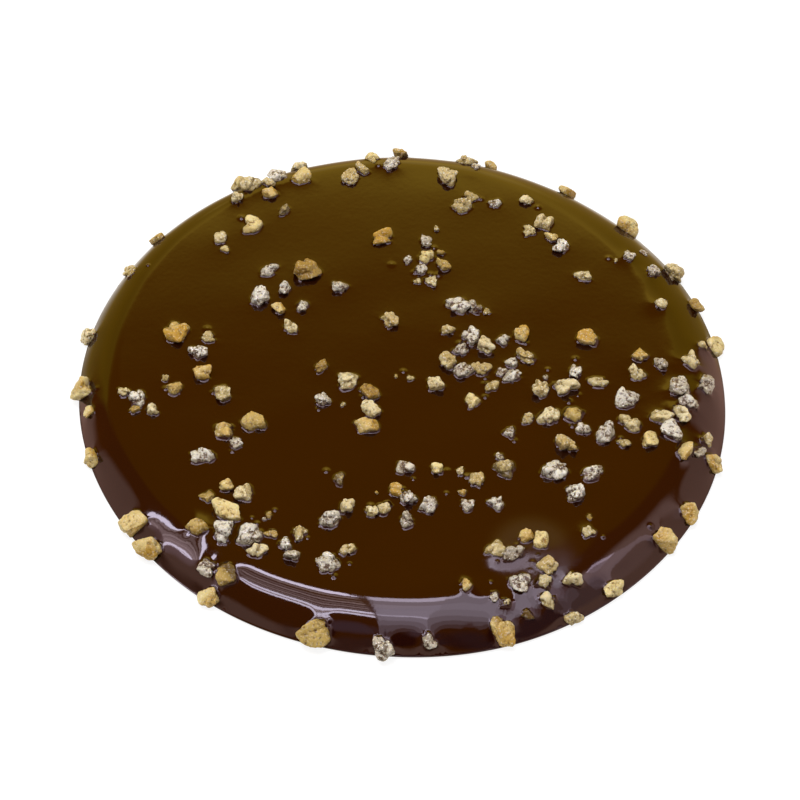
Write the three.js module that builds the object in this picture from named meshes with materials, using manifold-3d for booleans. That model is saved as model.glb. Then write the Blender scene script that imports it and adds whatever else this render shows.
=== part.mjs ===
// Chocolate almond tuile: a poured disc of dark chocolate with a rounded shoulder,
// sprinkled with chopped roasted almonds that sank a little way in before it set.
// Millimetres, +Z up, +Y to the back, origin at the centre of the flat underside.
import * as THREE from "three";
import { mergeVertices } from "three/addons/utils/BufferGeometryUtils.js";
import Module from "manifold-3d";

// Driving dimensions of the chocolate disc
const discRadius = 35;
const discThickness = 3.6;
const shoulderWidth = 5.8; // from the edge in to where the top is flat
const shoulderSpread = 0.36; // share by which the shoulder is wider on one side than the mean
const shoulderWidestAt = -0.95; // radians, towards the front right
const shoulderPower = 2.5; // how late the shoulder bends over
const lipHeight = 0.45; // the widest point stands this far above the underside
const lipInset = 0.3; // and the underside stops this far inside it
const outlineWaves = [
  { waves: 2, height: 0.16, phase: 0.9 },
  { waves: 3, height: 0.11, phase: 2.4 },
  { waves: 7, height: 0.05, phase: 4.1 },
];

// Driving dimensions of the chopped almonds, before their corners broke away
const grainShortest = 1.7;
const grainLongest = 3.1;
const grainFineness = 1.2; // higher leaves more of the small grains
const grainWidth = { low: 0.66, high: 0.98 }; // as shares of the length
const grainHeight = { low: 0.5, high: 0.8 };
const grainSunk = { low: 0.26, high: 0.52 }; // share of the height below the chocolate
const grainTilt = 0.5; // most lean away from the surface, in radians
const fractureCount = 6; // broken faces on each grain
const fractureDepth = { low: 0.62, high: 0.98 }; // shares of the way out to the unbroken skin
const grainRoundness = 4.5; // higher gives sharper edges between the faces
const grainSpacing = 0.72; // share of two grains' mean length that they keep apart
const placeTries = 40;
const floorGap = 0.05; // every grain stays this far above the underside

// The few largest grains
const largeGrains = [
  { x: -11.3, y: 14.4, length: 4.3 },
  { x: -1.8, y: 7.8, length: 2.9 },
  { x: -18, y: -19.8, length: 3.9 },
  { x: -34.8, y: -2.7, length: 3.3 },
  { x: -25.8, y: -23.6, length: 3.5 },
  { x: 28.5, y: -19, length: 3.6 },
  { x: 31.3, y: -15, length: 3.1 },
  { x: 11.5, y: -32.4, length: 3.4 },
];

// The others fell in pinches: where each landed, how far it spread, how many grains
const pinches = [
  { x: -16.9, y: 28.6, spread: 1.7, grains: 5 },
  { x: -5.8, y: 31.6, spread: 2.1, grains: 4 },
  { x: 5.8, y: 26.6, spread: 2.9, grains: 5 },
  { x: 16.9, y: 21.8, spread: 3.2, grains: 5 },
  { x: -15, y: 21.4, spread: 2.2, grains: 4 },
  { x: 0.8, y: 18.2, spread: 2.7, grains: 5 },
  { x: 28, y: 17.2, spread: 2.4, grains: 3 },
  { x: -13, y: 9.6, spread: 3.1, grains: 8 },
  { x: 8.2, y: 9.4, spread: 3, grains: 6 },
  { x: 7.2, y: 1.4, spread: 2.8, grains: 12 },
  { x: 21.8, y: 3.6, spread: 3.2, grains: 7 },
  { x: 31.9, y: 4.6, spread: 1.4, grains: 3 },
  { x: -22.8, y: 0.6, spread: 2.5, grains: 5 },
  { x: -4.8, y: -3.6, spread: 2.5, grains: 5 },
  { x: 18.8, y: -5.6, spread: 3.6, grains: 12 },
  { x: 30, y: -4.4, spread: 2.1, grains: 9 },
  { x: -28.7, y: -5.4, spread: 2.5, grains: 3 },
  { x: -17.3, y: -10.6, spread: 2.7, grains: 5 },
  { x: 0.4, y: -16.6, spread: 2.5, grains: 8 },
  { x: 8.8, y: -14.2, spread: 1.6, grains: 4 },
  { x: 19.4, y: -14.3, spread: 2, grains: 3 },
  { x: -7.4, y: -20.4, spread: 2.8, grains: 6 },
  { x: -19.2, y: -19.2, spread: 2.2, grains: 4 },
  { x: -16.2, y: -25.6, spread: 2.9, grains: 8 },
  { x: 13.8, y: -23.8, spread: 3.2, grains: 11 },
];
const topEdgeGap = 1.8; // a grain of a pinch lands at least this far inside the edge

// Grains that rolled off and stuck to the edge
const edgeGrains = 30;
const edgeJitter = 0.85; // share of the even step between them
const edgeReach = 1.5; // furthest in from the outline
const edgeLarger = 1.12;
const edgeSunk = { low: 0.26, high: 0.42 };

// Facets
const discSegments = 108;
const shoulderSteps = 8;
const lipSteps = 2;

const sprinkleSeed = 17123;
const drawFactor = 48271; // Park and Miller's, so that every run scatters the same grains
const drawModulus = 2147483647;
const up = new THREE.Vector3(0, 0, 1);
const across = new THREE.Vector3(1, 0, 0);

const wasm = await Module();
wasm.setup();

// The next number between low and high
let drawState = sprinkleSeed;
function draw(low = 0, high = 1) {
  drawState = (drawState * drawFactor) % drawModulus;
  return low + ((high - low) * drawState) / drawModulus;
}

function outlineRadius(angle) {
  return outlineWaves.reduce(
    (radius, { waves, height, phase }) => radius + height * Math.cos(waves * angle - phase),
    discRadius,
  );
}

function shoulderAt(angle) {
  return shoulderWidth * (1 + shoulderSpread * Math.cos(angle - shoulderWidestAt));
}

// Height of the chocolate's skin, as the share goes from 0 at the edge to 1 where it is flat
function shoulderHeight(share) {
  return lipHeight + (discThickness - lipHeight) * (1 - (1 - share) ** shoulderPower);
}

function distanceInward(x, y) {
  return outlineRadius(Math.atan2(y, x)) - Math.hypot(x, y);
}

// The point of the skin over x, y, and the way that it faces there
function skinAt(x, y) {
  const angle = Math.atan2(y, x);
  const width = shoulderAt(angle);
  const share = THREE.MathUtils.clamp(distanceInward(x, y) / width, 0, 1);
  const rise = discThickness - lipHeight;
  const slope = (rise * shoulderPower * (1 - share) ** (shoulderPower - 1)) / width;
  return {
    point: new THREE.Vector3(x, y, shoulderHeight(share)),
    normal: new THREE.Vector3(slope * Math.cos(angle), slope * Math.sin(angle), 1).normalize(),
  };
}

// Disc: a round profile, then moved out or in to the outline and to the shoulder's own width
function discGeometry() {
  const profile = [new THREE.Vector2(0, 0)];
  for (let step = 0; step <= lipSteps; step++) {
    const turn = (step / lipSteps) * (Math.PI / 2);
    profile.push(
      new THREE.Vector2(
        discRadius - lipInset * (1 - Math.sin(turn)),
        lipHeight * (1 - Math.cos(turn)),
      ),
    );
  }
  for (let step = 1; step <= shoulderSteps; step++) {
    const share = 1 - Math.cos((step / shoulderSteps) * (Math.PI / 2));
    profile.push(new THREE.Vector2(discRadius - shoulderWidth * share, shoulderHeight(share)));
  }
  profile.push(new THREE.Vector2(0, discThickness));

  const geometry = new THREE.LatheGeometry(profile, discSegments);
  geometry.rotateX(Math.PI / 2);
  const position = geometry.getAttribute("position");
  const flatRadius = discRadius - shoulderWidth;
  for (let i = 0; i < position.count; i++) {
    const angle = Math.atan2(position.getY(i), position.getX(i));
    const radius = Math.hypot(position.getX(i), position.getY(i));
    const outline = outlineRadius(angle);
    const width = shoulderAt(angle);
    const moved =
      radius > flatRadius
        ? outline - ((discRadius - radius) * width) / shoulderWidth
        : (radius * (outline - width)) / flatRadius;
    position.setX(i, moved * Math.cos(angle));
    position.setY(i, moved * Math.sin(angle));
  }
  return geometry;
}

// One grain's size, broken faces and lean, all drawn in a fixed order
function drawGrain(length, sunkRange) {
  const half = new THREE.Vector3(
    length / 2,
    (length / 2) * draw(grainWidth.low, grainWidth.high),
    (length / 2) * draw(grainHeight.low, grainHeight.high),
  );
  const yaw = draw(0, 2 * Math.PI);
  const lean = draw(-grainTilt, grainTilt);
  const sunk = draw(sunkRange.low, sunkRange.high);
  const faces = [];
  for (const axis of [0, 1, 2]) {
    for (const side of [1, -1]) {
      faces.push({
        normal: new THREE.Vector3().setComponent(axis, side),
        distance: half.getComponent(axis),
      });
    }
  }
  for (let cut = 0; cut < fractureCount; cut++) {
    const z = draw(-1, 1);
    const turn = draw(0, 2 * Math.PI);
    const flat = Math.sqrt(1 - z * z);
    const normal = new THREE.Vector3(flat * Math.cos(turn), flat * Math.sin(turn), z);
    const skin = normal.clone().multiply(half).length();
    faces.push({ normal, distance: skin * draw(fractureDepth.low, fractureDepth.high) });
  }
  return { half, yaw, lean, sunk, faces };
}

function drawLength() {
  return grainShortest + (grainLongest - grainShortest) * draw() ** grainFineness;
}

// Distance from a grain's middle to its skin: the broken faces meet in rounded edges
function grainReach(direction, grain) {
  let sum = 0;
  for (const { normal, distance } of grain.faces) {
    sum += Math.max(0, direction.dot(normal) / distance) ** grainRoundness;
  }
  return sum ** (-1 / grainRoundness);
}

// Sets a grain on the chocolate over x, y, sunk in by its own share
function seatGrain(grain, x, y) {
  const { point, normal } = skinAt(x, y);
  const turn = new THREE.Quaternion()
    .setFromUnitVectors(up, normal)
    .multiply(new THREE.Quaternion().setFromAxisAngle(up, grain.yaw))
    .multiply(new THREE.Quaternion().setFromAxisAngle(across, grain.lean));
  const inward = normal.clone().negate().applyQuaternion(turn.clone().invert());
  const middle = point.addScaledVector(normal, grainReach(inward, grain) * (1 - 2 * grain.sunk));
  return { ...grain, x, y, normal, middle, turn };
}

function isClear(x, y, length, placed) {
  return placed.every(
    (other) => Math.hypot(x - other.x, y - other.y) > grainSpacing * (length / 2 + other.half.x),
  );
}

// The large grains, then those of the pinches, the largest of each first
function scatteredGrains() {
  const placed = [];
  for (const { x, y, length } of largeGrains) {
    const sunkRange = distanceInward(x, y) > topEdgeGap ? grainSunk : edgeSunk;
    placed.push(seatGrain(drawGrain(length, sunkRange), x, y));
  }
  for (const pinch of pinches) {
    const lengths = Array.from({ length: pinch.grains }, drawLength).sort((a, b) => b - a);
    for (const length of lengths) {
      const grain = drawGrain(length, grainSunk);
      for (let attempt = 0; attempt < placeTries; attempt++) {
        const reach = pinch.spread * Math.sqrt(-2 * Math.log(draw()));
        const bearing = draw(0, 2 * Math.PI);
        const x = pinch.x + reach * Math.cos(bearing);
        const y = pinch.y + reach * Math.sin(bearing);
        if (distanceInward(x, y) > topEdgeGap && isClear(x, y, length, placed)) {
          placed.push(seatGrain(grain, x, y));
          break;
        }
      }
    }
  }
  return placed;
}

// Grains round the edge, about evenly spaced
function edgeRing(placed) {
  const ring = [];
  for (let i = 0; i < edgeGrains; i++) {
    const grain = drawGrain(edgeLarger * drawLength(), edgeSunk);
    const angle = ((i + edgeJitter * draw(-0.5, 0.5)) / edgeGrains) * 2 * Math.PI;
    const radius = outlineRadius(angle) - draw(0, edgeReach);
    const x = radius * Math.cos(angle);
    const y = radius * Math.sin(angle);
    if (isClear(x, y, 2 * grain.half.x, [...placed, ...ring])) {
      ring.push(seatGrain(grain, x, y));
    }
  }
  return ring;
}

function grainGeometry(grain) {
  const geometry = new THREE.IcosahedronGeometry(1);
  const position = geometry.getAttribute("position");
  const point = new THREE.Vector3();
  let lowest = Infinity;
  for (let i = 0; i < position.count; i++) {
    point.fromBufferAttribute(position, i).normalize();
    point.multiplyScalar(grainReach(point, grain)).applyQuaternion(grain.turn).add(grain.middle);
    position.setXYZ(i, point.x, point.y, point.z);
    lowest = Math.min(lowest, point.z);
  }
  if (lowest < floorGap) {
    // the table pushes the grain up along the chocolate's side
    const uphill = up.clone().addScaledVector(grain.normal, -grain.normal.z);
    uphill.multiplyScalar((floorGap - lowest) / uphill.z);
    geometry.translate(uphill.x, uphill.y, uphill.z);
  }
  return geometry;
}

function solidOf(geometry) {
  geometry.deleteAttribute("normal");
  geometry.deleteAttribute("uv");
  const merged = mergeVertices(geometry);
  return new wasm.Manifold(
    new wasm.Mesh({
      numProp: 3,
      vertProperties: merged.getAttribute("position").array,
      triVerts: new Uint32Array(merged.index.array),
    }),
  );
}

function meshOf(solid, name, material) {
  const { vertProperties, triVerts } = solid.getMesh();
  const geometry = new THREE.BufferGeometry();
  geometry.setAttribute("position", new THREE.BufferAttribute(vertProperties, 3));
  geometry.setIndex(new THREE.BufferAttribute(triVerts, 1));
  geometry.computeVertexNormals();
  const mesh = new THREE.Mesh(geometry, material);
  mesh.name = name;
  return mesh;
}

const darkChocolate = new THREE.MeshStandardMaterial({
  color: 0x3a1f0c,
  roughness: 0.15,
  metalness: 0,
});

const scattered = scatteredGrains();
const grains = [...scattered, ...edgeRing(scattered)];
const tuileSolid = grains.reduce(
  (solid, grain) => solid.add(solidOf(grainGeometry(grain))),
  solidOf(discGeometry()),
);

const tuile = new THREE.Group();
tuile.add(meshOf(tuileSolid, "tuile", darkChocolate));

export default tuile;
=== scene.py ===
# Chocolate almond tuile: a poured disc of dark chocolate, sprinkled with chopped roasted almonds
import math

import bmesh
import bpy
import numpy as np
from mathutils import Matrix, Quaternion, Vector, noise
from mathutils.geometry import delaunay_2d_cdt


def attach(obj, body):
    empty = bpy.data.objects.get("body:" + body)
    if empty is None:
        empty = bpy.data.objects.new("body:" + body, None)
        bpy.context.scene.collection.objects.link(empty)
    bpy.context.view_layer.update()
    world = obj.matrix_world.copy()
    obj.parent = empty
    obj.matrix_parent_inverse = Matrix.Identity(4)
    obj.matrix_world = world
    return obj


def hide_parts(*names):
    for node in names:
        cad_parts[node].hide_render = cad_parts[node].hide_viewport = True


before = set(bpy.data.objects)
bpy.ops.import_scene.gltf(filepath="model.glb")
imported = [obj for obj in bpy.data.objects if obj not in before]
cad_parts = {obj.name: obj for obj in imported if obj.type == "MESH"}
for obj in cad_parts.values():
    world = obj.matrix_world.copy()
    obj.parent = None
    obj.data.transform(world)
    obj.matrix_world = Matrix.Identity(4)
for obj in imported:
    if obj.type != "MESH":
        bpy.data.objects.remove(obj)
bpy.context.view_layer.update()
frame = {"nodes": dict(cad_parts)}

scene = bpy.context.scene
mm = 0.001  # sizes below are in millimetres, Blender's are in metres
fullTurn = 2 * math.pi
up = Vector((0, 0, 1))
across = Vector((1, 0, 0))
print("frame loaded, nodes:", ", ".join(frame["nodes"]))


# sRGB hex to the linear colour that a shader takes
def linear(hexColour):
    shares = [int(hexColour[i:i + 2], 16) / 255 for i in (1, 3, 5)]
    return [s / 12.92 if s <= 0.04045 else ((s + 0.055) / 1.055) ** 2.4 for s in shares] + [1.0]


# A node with its settings: an input that is a socket is linked, any other is set. Gives one output
def addNode(tree, kind, settings=None, inputs=None, output=0):
    node = tree.nodes.new(kind)
    for name, value in (settings or {}).items():
        setattr(node, name, value)
    for name, value in (inputs or {}).items():
        if isinstance(value, bpy.types.NodeSocket):
            tree.links.new(value, node.inputs[name])
        else:
            node.inputs[name].default_value = value
    return node.outputs[output] if node.outputs else None


# Settings that many nodes share
smoothRange = {"interpolation_type": "SMOOTHSTEP"}
colourMix = {"data_type": "RGBA"}


def newMaterial(name):
    material = bpy.data.materials.new(name)
    material.use_nodes = True
    material.node_tree.nodes.clear()
    return material, material.node_tree


def smoothstep(low, high, value):
    share = np.clip((value - low) / (high - low), 0, 1)
    return share * share * (3 - 2 * share)


def addPiece(name, points, faces, material):
    mesh = bpy.data.meshes.new(name)
    mesh.from_pydata((points * mm).tolist(), [], faces)
    mesh.polygons.foreach_set("use_smooth", np.ones(len(mesh.polygons), dtype=bool))
    mesh.materials.append(material)
    piece = bpy.data.objects.new(name, mesh)
    scene.collection.objects.link(piece)
    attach(piece, "root")
    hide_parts("tuile")
    return piece


# The disc of chocolate, in the solid's own sizes
disc = {
    "radius": 35.0,
    "thickness": 3.6,
    "shoulderWidth": 5.8,  # from the edge in to where the top is flat
    "shoulderSpread": 0.36,  # wider by this share on one side
    "shoulderWidestAt": -0.95,  # radians, towards the front right
    "shoulderPower": 2.5,
    "lipHeight": 0.45,
    "lipInset": 0.3,
    "outlineWaves": [(2, 0.16, 0.9), (3, 0.11, 2.4), (7, 0.05, 4.1)],  # waves, height, phase
}


def outlineRadius(angle):
    waves = (height * np.cos(count * angle - phase) for count, height, phase in disc["outlineWaves"])
    return disc["radius"] + sum(waves)


def shoulderAt(angle):
    lean = np.cos(angle - disc["shoulderWidestAt"])
    return disc["shoulderWidth"] * (1 + disc["shoulderSpread"] * lean)


def distanceInward(x, y):
    return outlineRadius(np.arctan2(y, x)) - np.hypot(x, y)


def shoulderShare(x, y):
    return np.clip(distanceInward(x, y) / shoulderAt(np.arctan2(y, x)), 0, 1)


def skinHeight(x, y):
    rise = disc["thickness"] - disc["lipHeight"]
    return disc["lipHeight"] + rise * (1 - (1 - shoulderShare(x, y)) ** disc["shoulderPower"])


def skinNormal(x, y):
    angle = math.atan2(y, x)
    power = disc["shoulderPower"]
    rise = disc["thickness"] - disc["lipHeight"]
    slope = rise * power * (1 - shoulderShare(x, y)) ** (power - 1) / shoulderAt(angle)
    normal = np.array([slope * math.cos(angle), slope * math.sin(angle), 1.0])
    return normal / np.linalg.norm(normal)


# Chopped almonds: sizes, places and draws are the solid's, in the solid's order
sprinkle = {
    "seed": 17123,
    "drawFactor": 48271,  # each draw is the last one times this
    "drawModulus": 2147483647,  # modulo this
    "shortest": 1.7,  # before the corners broke away
    "longest": 3.1,
    "fineness": 1.2,
    "width": (0.66, 0.98),  # shares of the length
    "height": (0.5, 0.8),
    "sunk": (0.26, 0.52),  # share of the height below the chocolate
    "tilt": 0.5,
    "fractures": 6,
    "fractureDepth": (0.62, 0.98),
    "roundness": 4.5,
    "spacing": 0.72,
    "tries": 40,
    "floorGap": 0.05,
    "liftParts": 6,  # fineness of the mesh that feels for the table
    "drawnShare": 0.945,  # the solid's facets lie this far out on average, its corners at 1
    "topEdgeGap": 1.8,
    "edgeGrains": 30,
    "edgeJitter": 0.85,
    "edgeReach": 1.5,
    "edgeLarger": 1.12,
    "edgeSunk": (0.26, 0.42),
    "crumbs": 30,
    "crumbLength": (0.5, 1.5),
    "crumbSunk": (0.3, 0.6),
    "crumbAway": (0.2, 1.6),
    # the few largest: x, y, length, kind
    "large": [
        (-11.3, 14.4, 4.3, "ochre"), (-1.8, 7.8, 2.9, "cream"), (-18, -19.8, 3.9, "golden"),
        (-34.8, -2.7, 3.3, "golden"), (-25.8, -23.6, 3.5, "golden"), (28.5, -19, 3.6, "golden"),
        (31.3, -15, 3.1, "golden"), (11.5, -32.4, 3.4, "golden"),
    ],
    # pinches: x, y, spread, grains
    "pinches": [
        (-16.9, 28.6, 1.7, 5), (-5.8, 31.6, 2.1, 4), (5.8, 26.6, 2.9, 5), (16.9, 21.8, 3.2, 5),
        (-15, 21.4, 2.2, 4), (0.8, 18.2, 2.7, 5), (28, 17.2, 2.4, 3), (-13, 9.6, 3.1, 8),
        (8.2, 9.4, 3, 6), (7.2, 1.4, 2.8, 12), (21.8, 3.6, 3.2, 7), (31.9, 4.6, 1.4, 3),
        (-22.8, 0.6, 2.5, 5), (-4.8, -3.6, 2.5, 5), (18.8, -5.6, 3.6, 12), (30, -4.4, 2.1, 9),
        (-28.7, -5.4, 2.5, 3), (-17.3, -10.6, 2.7, 5), (0.4, -16.6, 2.5, 8), (8.8, -14.2, 1.6, 4),
        (19.4, -14.3, 2, 3), (-7.4, -20.4, 2.8, 6), (-19.2, -19.2, 2.2, 4), (-16.2, -25.6, 2.9, 8),
        (13.8, -23.8, 3.2, 11),
    ],
}

drawState = sprinkle["seed"]


def draw(low=0.0, high=1.0):
    global drawState
    drawState = drawState * sprinkle["drawFactor"] % sprinkle["drawModulus"]
    return low + (high - low) * drawState / sprinkle["drawModulus"]


def drawLength():
    spread = sprinkle["longest"] - sprinkle["shortest"]
    return sprinkle["shortest"] + spread * draw() ** sprinkle["fineness"]


# Faces are kept as normal / distance, so that a point on a face gives 1
def drawGrain(length, sunkRange):
    half = length / 2 * np.array([1.0, draw(*sprinkle["width"]), draw(*sprinkle["height"])])
    yaw = draw(0, fullTurn)
    lean = draw(-sprinkle["tilt"], sprinkle["tilt"])
    sunk = draw(*sunkRange)
    faces = []
    for axis in range(3):
        for side in (1, -1):
            faces.append(side * np.eye(3)[axis] / half[axis])
    for cut in range(sprinkle["fractures"]):
        z = draw(-1, 1)
        turn = draw(0, fullTurn)
        flat = math.sqrt(1 - z * z)
        normal = np.array([flat * math.cos(turn), flat * math.sin(turn), z])
        faces.append(normal / (np.linalg.norm(normal * half) * draw(*sprinkle["fractureDepth"])))
    return {"half": half, "yaw": yaw, "lean": lean, "sunk": sunk, "faces": np.array(faces)}


# 1 on a grain's skin and less inside it, for points in its own axes
def grainGauge(points, grain):
    facing = np.maximum(points @ grain["faces"].T, 0)
    return (facing ** sprinkle["roundness"]).sum(axis=-1) ** (1 / sprinkle["roundness"])


def seatGrain(grain, x, y):
    normal = skinNormal(x, y)
    upright = up.rotation_difference(Vector(normal))
    turned = upright @ Quaternion(up, grain["yaw"]) @ Quaternion(across, grain["lean"])
    turn = np.array(turned.to_matrix())
    reach = 1 / grainGauge(-normal @ turn, grain)
    seat = np.array([x, y, skinHeight(x, y)])
    middle = seat + normal * reach * sprinkle["drawnShare"] * (1 - 2 * grain["sunk"])
    grain.update(x=x, y=y, normal=normal, turn=turn, middle=middle)
    return grain


def isClear(x, y, length, placed):
    share = sprinkle["spacing"]
    return all(math.hypot(x - g["x"], y - g["y"]) > share * (length / 2 + g["half"][0]) for g in placed)


def scatterGrains():
    placed = []
    for x, y, length, kind in sprinkle["large"]:
        onTop = distanceInward(x, y) > sprinkle["topEdgeGap"]
        grain = drawGrain(length, sprinkle["sunk"] if onTop else sprinkle["edgeSunk"])
        placed.append(seatGrain(grain, x, y))
        grain["kind"] = kind
    for pinchX, pinchY, spread, count in sprinkle["pinches"]:
        lengths = sorted((drawLength() for i in range(count)), reverse=True)
        for length in lengths:
            grain = drawGrain(length, sprinkle["sunk"])
            for attempt in range(sprinkle["tries"]):
                reach = spread * math.sqrt(-2 * math.log(draw()))
                bearing = draw(0, fullTurn)
                x = pinchX + reach * math.cos(bearing)
                y = pinchY + reach * math.sin(bearing)
                if distanceInward(x, y) > sprinkle["topEdgeGap"] and isClear(x, y, length, placed):
                    placed.append(seatGrain(grain, x, y))
                    grain["kind"] = "top"
                    break
    for i in range(sprinkle["edgeGrains"]):
        grain = drawGrain(sprinkle["edgeLarger"] * drawLength(), sprinkle["edgeSunk"])
        step = i + sprinkle["edgeJitter"] * draw(-0.5, 0.5)
        angle = step / sprinkle["edgeGrains"] * fullTurn
        radius = outlineRadius(angle) - draw(0, sprinkle["edgeReach"])
        x = radius * math.cos(angle)
        y = radius * math.sin(angle)
        if isClear(x, y, 2 * grain["half"][0], placed):
            placed.append(seatGrain(grain, x, y))
            grain["kind"] = "edge"
    return placed


# Extra crumbs of chopping, too small for the solid, beside the grains that they fell with
def scatterCrumbs(placed):
    for i in range(sprinkle["crumbs"]):
        length = draw(*sprinkle["crumbLength"])
        crumb = drawGrain(length, sprinkle["crumbSunk"])
        host = placed[int(draw(0, len(placed)))]
        reach = host["half"][0] + draw(*sprinkle["crumbAway"])
        bearing = draw(0, fullTurn)
        x = host["x"] + reach * math.cos(bearing)
        y = host["y"] + reach * math.sin(bearing)
        if distanceInward(x, y) > sprinkle["topEdgeGap"] and isClear(x, y, length, placed):
            placed.append(seatGrain(crumb, x, y))
            crumb["kind"] = "top"


# Points all over a sphere, each edge of an icosahedron split into so many parts
sphereMeshes = {}


def sphereMesh(parts):
    if parts not in sphereMeshes:
        work = bmesh.new()
        bmesh.ops.create_icosphere(work, subdivisions=1, radius=1)
        if parts > 1:
            bmesh.ops.subdivide_edges(work, edges=work.edges, cuts=parts - 1, use_grid_fill=True)
        bmesh.ops.triangulate(work, faces=work.faces)
        points = np.array([vertex.co.normalized() for vertex in work.verts])
        faces = np.array([[vertex.index for vertex in face.verts] for face in work.faces])
        work.free()
        sphereMeshes[parts] = points, faces
    return sphereMeshes[parts]


# The table pushes a grain that would reach below the underside up along the chocolate's side
def liftFromTable(grain):
    directions = sphereMesh(sprinkle["liftParts"])[0]
    reach = sprinkle["drawnShare"] / grainGauge(directions, grain)
    points = (directions * reach[:, None]) @ grain["turn"].T + grain["middle"]
    lowest = points[:, 2].min()
    if lowest < sprinkle["floorGap"]:
        uphill = np.array([0, 0, 1]) - grain["normal"] * grain["normal"][2]
        lift = uphill * (sprinkle["floorGap"] - lowest) / uphill[2]
        grain["middle"] = grain["middle"] + lift
        grain["x"] += lift[0]
        grain["y"] += lift[1]


grains = scatterGrains()
solidGrains = len(grains)
scatterCrumbs(grains)
for grain in grains:
    liftFromTable(grain)
print("grains placed:", solidGrains, "and crumbs:", len(grains) - solidGrains)


# How the almonds broke: the kinds drawn for the top and for the edge
almonds = {
    "seed": 5,
    "topKinds": {"golden": 0.16, "ochre": 0.1, "cream": 0.37, "filmed": 0.37},
    "edgeKinds": {"golden": 0.38, "ochre": 0.08, "cream": 0.46, "filmed": 0.08},
    "edgePaler": 0.75,  # those at the edge caught less heat: their tones times this
    "edgeArc": 1.1,  # length of an icosahedron's edge along its sphere, in radii
    "fewestParts": 3,  # into which that edge is split
    "chipTone": 0.4,  # how much a chip's tone may differ
    "leastFacing": 0.01,  # of a chip, as a cosine
    "cleftWidth": (0.3, 0.55),  # shares of the grain, of the clefts between lobes
    "cleftPlace": 0.3,
    "cleftEnds": (-0.4, 0.5),  # cosines between which a cleft fades out round the grain
    "leastReach": 0.3,  # no hollow goes deeper than this share
    "hollowShadeMean": 0.4,  # share of the painted shade in hollows, less these shares of lump, crumb, grit and ridge
    "hollowShadeShares": (0.4, 0.5, 0.5, 0.2),
    "offset": 50.0,  # each grain takes its relief from elsewhere in the noise, this far off at most
    "drowned": 0.045,  # share of the grains that went under and wear a film of chocolate
    "film": (0.3, 0.6),  # height of that film
}
almondDraws = np.random.default_rng(almonds["seed"])
# In each kind below, glints is the share of painted glints, pale specks of highlight.
# In each kind below, the hollow colour is painted shade, laid in the recesses and clefts of the relief.
# In each kind below, the soaked colour darkens the flesh towards the chocolate: partly fat soaked up,
# partly painted shade of the lower sides.
# Roasted almond, broken: golden, satin, in clean facets
goldenAlmonds = {
    "piece": "golden_almonds", "kind": "golden", "material": "roasted_almond",
    "meshStep": 0.092,  # length of a mesh edge
    "sharpness": 8.0, "facetTone": 0.5, "chips": 7, "chipDepth": (0.68, 0.95),
    "clefts": 2, "cleftDepth": (0.1, 0.3),
    "lump": 0.11, "lumpSize": 0.7, "crumb": 0.065, "crumbSize": 0.33, "grit": 0.03, "gritSize": 0.17,
    "ridge": 0.03,
    "light": "#e5d498", "toasted": "#bc9438", "hollowShade": "#8a6c2e", "soakedAndShade": "#887232",
    "pits": 0.6, "pitDepth": (0.3, 1.0), "glints": 0.4, "graininess": 0.045,
    "roughness": 0.55, "coat": 0.1, "coatRoughness": 0.25,
}
# The same from nearer the skin, roasted darker
ochreAlmonds = {
    **goldenAlmonds, "piece": "ochre_almonds", "kind": "ochre", "material": "dark_roasted_almond",
    "crumb": 0.08, "grit": 0.04,
    "light": "#c8ae66", "toasted": "#9e7e36", "hollowShade": "#6c5020", "soakedAndShade": "#7c682c",
    "glints": 0.32,
}
# Broken flesh of blanched almond: pale, matt and crumbly
creamAlmonds = {
    "piece": "cream_almonds", "kind": "cream", "material": "chopped_blanched_almond",
    "meshStep": 0.107,
    "sharpness": 7.0, "facetTone": 0.3, "chips": 6, "chipDepth": (0.68, 0.95),
    "clefts": 3, "cleftDepth": (0.15, 0.42),
    "lump": 0.12, "lumpSize": 0.62, "crumb": 0.13, "crumbSize": 0.4, "grit": 0.05, "gritSize": 0.2,
    "ridge": 0.04,
    "light": "#e4d6aa", "toasted": "#bca468", "hollowShade": "#84703e", "soakedAndShade": "#8a783e",
    "pits": 0.55, "pitDepth": (0.26, 0.92), "glints": 0.6, "graininess": 0.06,
    "roughness": 0.65, "coat": 0.1, "coatRoughness": 0.25,
}
# Flesh with a broken film of chocolate over it: white and dark in patches, the dark partly chocolate and
# partly painted shade, with specks of gloss that are partly painted glints
filmedAlmonds = {
    "piece": "filmed_almonds", "kind": "filmed", "material": "chocolate_filmed_almond",
    "meshStep": 0.098,
    "sharpness": 7.0, "facetTone": 0.4, "chips": 6, "chipDepth": (0.68, 0.95),
    "clefts": 3, "cleftDepth": (0.15, 0.42),
    "lump": 0.11, "lumpSize": 0.55, "crumb": 0.13, "crumbSize": 0.38, "grit": 0.06, "gritSize": 0.19,
    "ridge": 0.04,
    "light": "#e2dfd2", "toasted": "#b2aa98", "hollowShade": "#5a4832", "soakedAndShade": "#807356",
    "pits": 1.2, "pitDepth": (0.26, 0.74), "glints": 0.8, "graininess": 0.09,
    "roughness": 0.45, "coat": 0.6, "coatRoughness": 0.08,
}
kinds = {kind["kind"]: kind for kind in (goldenAlmonds, ochreAlmonds, creamAlmonds, filmedAlmonds)}


def chooseKind(grain):
    paler = almonds["edgePaler"] if grain["kind"] == "edge" else 1.0
    if grain["kind"] in ("top", "edge"):
        shares = almonds["topKinds" if grain["kind"] == "top" else "edgeKinds"]
        grain["kind"] = str(almondDraws.choice(list(shares), p=list(shares.values())))
    grain["tone"] = paler * almondDraws.uniform()
    grain["offset"] = Vector(almondDraws.uniform(-almonds["offset"], almonds["offset"], 3))
    film = almondDraws.uniform(*almonds["film"])
    grain["film"] = film if almondDraws.uniform() < almonds["drowned"] else 0


def drawWay():
    way = almondDraws.normal(size=3)
    return way / np.linalg.norm(way)
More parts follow.
